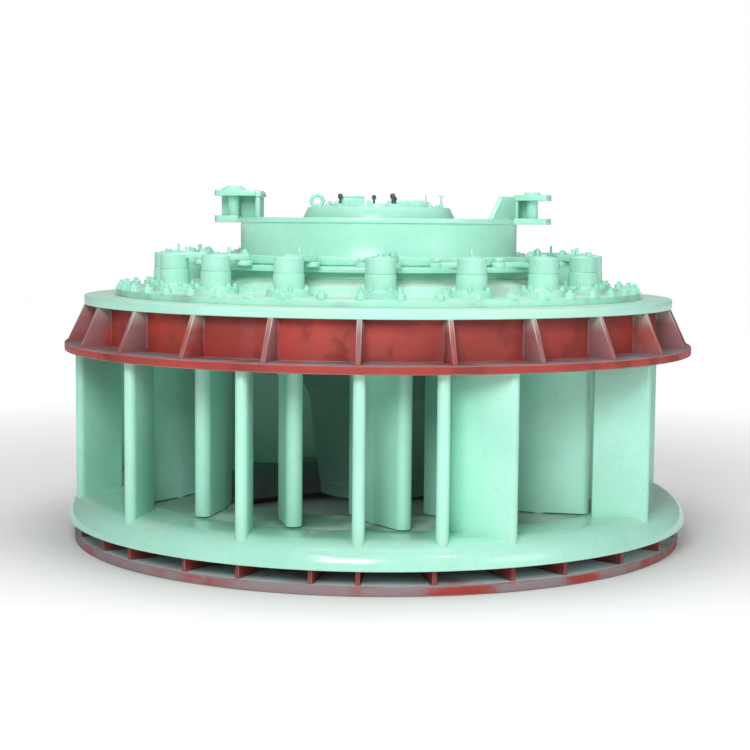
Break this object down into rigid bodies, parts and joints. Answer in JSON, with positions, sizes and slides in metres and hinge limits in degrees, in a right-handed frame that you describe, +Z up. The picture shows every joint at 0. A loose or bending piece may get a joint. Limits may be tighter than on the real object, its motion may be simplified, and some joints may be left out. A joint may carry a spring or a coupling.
{
  "type": "kaplan turbine distributor",
  "caption": "Water-guide ring of a vertical propeller turbine: stay ring and vanes, turning guide vanes, head cover, links and an operating ring with two ears.",
  "frame": {"origin": "on the turbine's vertical axis, at the foot of the base flange", "axes": "+Z up along the turbine's axis, -Y towards the viewer of the picture, +X to its right"},
  "size_m": [3.464, 3.464, 1.9353],
  "materials": {
    "base_red": "dusty red oxide primer, worn at the rim",
    "upper_red": "red oxide primer with green overspray at the rib tops",
    "stay_ring_paint": "mint green enamel, semi-gloss",
    "stay_vane_paint": "mint green enamel, semi-gloss",
    "guide_vane_paint": "mint green enamel, semi-gloss",
    "link_paint": "mint green enamel, semi-gloss",
    "top_plate_paint": "mint green enamel with dust near the rim",
    "head_cover_paint": "mint green enamel, dusty between the sleeves",
    "inner_cone_paint": "mint green enamel, in shade",
    "inner_cover_paint": "mint green enamel, semi-gloss",
    "operating_ring_paint": "mint green enamel, semi-gloss",
    "ear_pin_paint": "pins painted over with mint green enamel"
  },
  "bodies": {
    "distributor": {"base_ring": "base_red", "lower_stay_ring": "stay_ring_paint", "bottom_ring": "stay_ring_paint", "stay_vane_01": "stay_vane_paint", "stay_vane_02": "stay_vane_paint", "stay_vane_03": "stay_vane_paint", "stay_vane_04": "stay_vane_paint", "stay_vane_05": "stay_vane_paint", "stay_vane_06": "stay_vane_paint", "stay_vane_07": "stay_vane_paint", "stay_vane_08": "stay_vane_paint", "stay_vane_09": "stay_vane_paint", "stay_vane_10": "stay_vane_paint", "stay_vane_11": "stay_vane_paint", "tongue_plate_left": "stay_vane_paint", "tongue_plate_right": "stay_vane_paint", "upper_ring": "upper_red", "top_plate": "top_plate_paint", "head_cover": "head_cover_paint", "inner_head_cover": "inner_cone_paint", "inner_cover": "inner_cover_paint", "lifting_eye": "inner_cover_paint"},
    "ring": {"operating_ring": "operating_ring_paint", "ear_right": "operating_ring_paint", "ear_left": "operating_ring_paint", "ear_pin_right": "ear_pin_paint", "ear_pin_left": "ear_pin_paint"},
    "vane_01": {"guide_vane_01": "guide_vane_paint"},
    "link_body_01": {"link_01": "link_paint"},
    "vane_02": {"guide_vane_02": "guide_vane_paint"},
    "link_body_02": {"link_02": "link_paint"},
    "vane_03": {"guide_vane_03": "guide_vane_paint"},
    "link_body_03": {"link_03": "link_paint"},
    "vane_04": {"guide_vane_04": "guide_vane_paint"},
    "link_body_04": {"link_04": "link_paint"},
    "vane_05": {"guide_vane_05": "guide_vane_paint"},
    "link_body_05": {"link_05": "link_paint"},
    "vane_06": {"guide_vane_06": "guide_vane_paint"},
    "link_body_06": {"link_06": "link_paint"},
    "vane_07": {"guide_vane_07": "guide_vane_paint"},
    "link_body_07": {"link_07": "link_paint"},
    "vane_08": {"guide_vane_08": "guide_vane_paint"},
    "link_body_08": {"link_08": "link_paint"},
    "vane_09": {"guide_vane_09": "guide_vane_paint"},
    "link_body_09": {"link_09": "link_paint"},
    "vane_10": {"guide_vane_10": "guide_vane_paint"},
    "link_body_10": {"link_10": "link_paint"},
    "vane_11": {"guide_vane_11": "guide_vane_paint"},
    "link_body_11": {"link_11": "link_paint"},
    "vane_12": {"guide_vane_12": "guide_vane_paint"},
    "link_body_12": {"link_12": "link_paint"},
    "vane_13": {"guide_vane_13": "guide_vane_paint"},
    "link_body_13": {"link_13": "link_paint"},
    "vane_14": {"guide_vane_14": "guide_vane_paint"},
    "link_body_14": {"link_14": "link_paint"},
    "vane_15": {"guide_vane_15": "guide_vane_paint"},
    "link_body_15": {"link_15": "link_paint"},
    "vane_16": {"guide_vane_16": "guide_vane_paint"},
    "link_body_16": {"link_16": "link_paint"}
  },
  "joints": [
    {"name": "ring_turn", "type": "hinge", "parent": "distributor", "child": "ring", "pos_m": [0, 0, 1.62], "axis": [0, 0, 1], "range_deg": [-7, 0.72]},
    {"name": "vane_01_turn", "type": "hinge", "parent": "distributor", "child": "vane_01", "pos_m": [0.00822, -1.17797, 0.65], "axis": [0, 0, 1], "range_deg": [-5, 47.9]},
    {"name": "link_01_turn", "type": "hinge", "parent": "ring", "child": "link_body_01", "pos_m": [-0.08393, -0.95934, 1.523], "axis": [0, 0, 1], "range_deg": [-0.5, 4]},
    {"name": "vane_02_turn", "type": "hinge", "parent": "distributor", "child": "vane_02", "pos_m": [0.45839, -1.08516, 0.65], "axis": [0, 0, 1], "range_deg": [-5, 47.9]},
    {"name": "link_02_turn", "type": "hinge", "parent": "ring", "child": "link_body_02", "pos_m": [0.28958, -0.91843, 1.523], "axis": [0, 0, 1], "range_deg": [-0.5, 4]},
    {"name": "vane_03_turn", "type": "hinge", "parent": "distributor", "child": "vane_03", "pos_m": [0.83877, -0.82714, 0.65], "axis": [0, 0, 1], "range_deg": [-5, 47.9]},
    {"name": "link_03_turn", "type": "hinge", "parent": "ring", "child": "link_body_03", "pos_m": [0.619, -0.7377, 1.523], "axis": [0, 0, 1], "range_deg": [-0.5, 4]},
    {"name": "vane_04_turn", "type": "hinge", "parent": "distributor", "child": "vane_04", "pos_m": [1.09145, -0.44319, 0.65], "axis": [0, 0, 1], "range_deg": [-5, 47.9]},
    {"name": "link_04_turn", "type": "hinge", "parent": "ring", "child": "link_body_04", "pos_m": [0.85419, -0.44466, 1.523], "axis": [0, 0, 1], "range_deg": [-0.5, 4]},
    {"name": "vane_05_turn", "type": "hinge", "parent": "distributor", "child": "vane_05", "pos_m": [1.17797, 0.00822, 0.65], "axis": [0, 0, 1], "range_deg": [-5, 47.9]},
    {"name": "link_05_turn", "type": "hinge", "parent": "ring", "child": "link_body_05", "pos_m": [0.95934, -0.08393, 1.523], "axis": [0, 0, 1], "range_deg": [-0.5, 4]},
    {"name": "vane_06_turn", "type": "hinge", "parent": "distributor", "child": "vane_06", "pos_m": [1.08516, 0.45839, 0.65], "axis": [0, 0, 1], "range_deg": [-5, 47.9]},
    {"name": "link_06_turn", "type": "hinge", "parent": "ring", "child": "link_body_06", "pos_m": [0.91843, 0.28958, 1.523], "axis": [0, 0, 1], "range_deg": [-0.5, 4]},
    {"name": "vane_07_turn", "type": "hinge", "parent": "distributor", "child": "vane_07", "pos_m": [0.82714, 0.83877, 0.65], "axis": [0, 0, 1], "range_deg": [-5, 47.9]},
    {"name": "link_07_turn", "type": "hinge", "parent": "ring", "child": "link_body_07", "pos_m": [0.7377, 0.619, 1.523], "axis": [0, 0, 1], "range_deg": [-0.5, 4]},
    {"name": "vane_08_turn", "type": "hinge", "parent": "distributor", "child": "vane_08", "pos_m": [0.44319, 1.09145, 0.65], "axis": [0, 0, 1], "range_deg": [-5, 47.9]},
    {"name": "link_08_turn", "type": "hinge", "parent": "ring", "child": "link_body_08", "pos_m": [0.44466, 0.85419, 1.523], "axis": [0, 0, 1], "range_deg": [-0.5, 4]},
    {"name": "vane_09_turn", "type": "hinge", "parent": "distributor", "child": "vane_09", "pos_m": [-0.00822, 1.17797, 0.65], "axis": [0, 0, 1], "range_deg": [-5, 47.9]},
    {"name": "link_09_turn", "type": "hinge", "parent": "ring", "child": "link_body_09", "pos_m": [0.08393, 0.95934, 1.523], "axis": [0, 0, 1], "range_deg": [-0.5, 4]},
    {"name": "vane_10_turn", "type": "hinge", "parent": "distributor", "child": "vane_10", "pos_m": [-0.45839, 1.08516, 0.65], "axis": [0, 0, 1], "range_deg": [-5, 47.9]},
    {"name": "link_10_turn", "type": "hinge", "parent": "ring", "child": "link_body_10", "pos_m": [-0.28958, 0.91843, 1.523], "axis": [0, 0, 1], "range_deg": [-0.5, 4]},
    {"name": "vane_11_turn", "type": "hinge", "parent": "distributor", "child": "vane_11", "pos_m": [-0.83877, 0.82714, 0.65], "axis": [0, 0, 1], "range_deg": [-5, 47.9]},
    {"name": "link_11_turn", "type": "hinge", "parent": "ring", "child": "link_body_11", "pos_m": [-0.619, 0.7377, 1.523], "axis": [0, 0, 1], "range_deg": [-0.5, 4]},
    {"name": "vane_12_turn", "type": "hinge", "parent": "distributor", "child": "vane_12", "pos_m": [-1.09145, 0.44319, 0.65], "axis": [0, 0, 1], "range_deg": [-5, 47.9]},
    {"name": "link_12_turn", "type": "hinge", "parent": "ring", "child": "link_body_12", "pos_m": [-0.85419, 0.44466, 1.523], "axis": [0, 0, 1], "range_deg": [-0.5, 4]},
    {"name": "vane_13_turn", "type": "hinge", "parent": "distributor", "child": "vane_13", "pos_m": [-1.17797, -0.00822, 0.65], "axis": [0, 0, 1], "range_deg": [-5, 47.9]},
    {"name": "link_13_turn", "type": "hinge", "parent": "ring", "child": "link_body_13", "pos_m": [-0.95934, 0.08393, 1.523], "axis": [0, 0, 1], "range_deg": [-0.5, 4]},
    {"name": "vane_14_turn", "type": "hinge", "parent": "distributor", "child": "vane_14", "pos_m": [-1.08516, -0.45839, 0.65], "axis": [0, 0, 1], "range_deg": [-5, 47.9]},
    {"name": "link_14_turn", "type": "hinge", "parent": "ring", "child": "link_body_14", "pos_m": [-0.91843, -0.28958, 1.523], "axis": [0, 0, 1], "range_deg": [-0.5, 4]},
    {"name": "vane_15_turn", "type": "hinge", "parent": "distributor", "child": "vane_15", "pos_m": [-0.82714, -0.83877, 0.65], "axis": [0, 0, 1], "range_deg": [-5, 47.9]},
    {"name": "link_15_turn", "type": "hinge", "parent": "ring", "child": "link_body_15", "pos_m": [-0.7377, -0.619, 1.523], "axis": [0, 0, 1], "range_deg": [-0.5, 4]},
    {"name": "vane_16_turn", "type": "hinge", "parent": "distributor", "child": "vane_16", "pos_m": [-0.44319, -1.09145, 0.65], "axis": [0, 0, 1], "range_deg": [-5, 47.9]},
    {"name": "link_16_turn", "type": "hinge", "parent": "ring", "child": "link_body_16", "pos_m": [-0.44466, -0.85419, 1.523], "axis": [0, 0, 1], "range_deg": [-0.5, 4]}
  ],
  "couplings": [
    {"joint": "vane_01_turn", "follows": "ring_turn", "ratio": -6.83},
    {"joint": "link_01_turn", "follows": "ring_turn", "ratio": -0.56},
    {"joint": "vane_02_turn", "follows": "ring_turn", "ratio": -6.83},
    {"joint": "link_02_turn", "follows": "ring_turn", "ratio": -0.56},
    {"joint": "vane_03_turn", "follows": "ring_turn", "ratio": -6.83},
    {"joint": "link_03_turn", "follows": "ring_turn", "ratio": -0.56},
    {"joint": "vane_04_turn", "follows": "ring_turn", "ratio": -6.83},
    {"joint": "link_04_turn", "follows": "ring_turn", "ratio": -0.56},
    {"joint": "vane_05_turn", "follows": "ring_turn", "ratio": -6.83},
    {"joint": "link_05_turn", "follows": "ring_turn", "ratio": -0.56},
    {"joint": "vane_06_turn", "follows": "ring_turn", "ratio": -6.83},
    {"joint": "link_06_turn", "follows": "ring_turn", "ratio": -0.56},
    {"joint": "vane_07_turn", "follows": "ring_turn", "ratio": -6.83},
    {"joint": "link_07_turn", "follows": "ring_turn", "ratio": -0.56},
    {"joint": "vane_08_turn", "follows": "ring_turn", "ratio": -6.83},
    {"joint": "link_08_turn", "follows": "ring_turn", "ratio": -0.56},
    {"joint": "vane_09_turn", "follows": "ring_turn", "ratio": -6.83},
    {"joint": "link_09_turn", "follows": "ring_turn", "ratio": -0.56},
    {"joint": "vane_10_turn", "follows": "ring_turn", "ratio": -6.83},
    {"joint": "link_10_turn", "follows": "ring_turn", "ratio": -0.56},
    {"joint": "vane_11_turn", "follows": "ring_turn", "ratio": -6.83},
    {"joint": "link_11_turn", "follows": "ring_turn", "ratio": -0.56},
    {"joint": "vane_12_turn", "follows": "ring_turn", "ratio": -6.83},
    {"joint": "link_12_turn", "follows": "ring_turn", "ratio": -0.56},
    {"joint": "vane_13_turn", "follows": "ring_turn", "ratio": -6.83},
    {"joint": "link_13_turn", "follows": "ring_turn", "ratio": -0.56},
    {"joint": "vane_14_turn", "follows": "ring_turn", "ratio": -6.83},
    {"joint": "link_14_turn", "follows": "ring_turn", "ratio": -0.56},
    {"joint": "vane_15_turn", "follows": "ring_turn", "ratio": -6.83},
    {"joint": "link_15_turn", "follows": "ring_turn", "ratio": -0.56},
    {"joint": "vane_16_turn", "follows": "ring_turn", "ratio": -6.83},
    {"joint": "link_16_turn", "follows": "ring_turn", "ratio": -0.56}
  ]
}
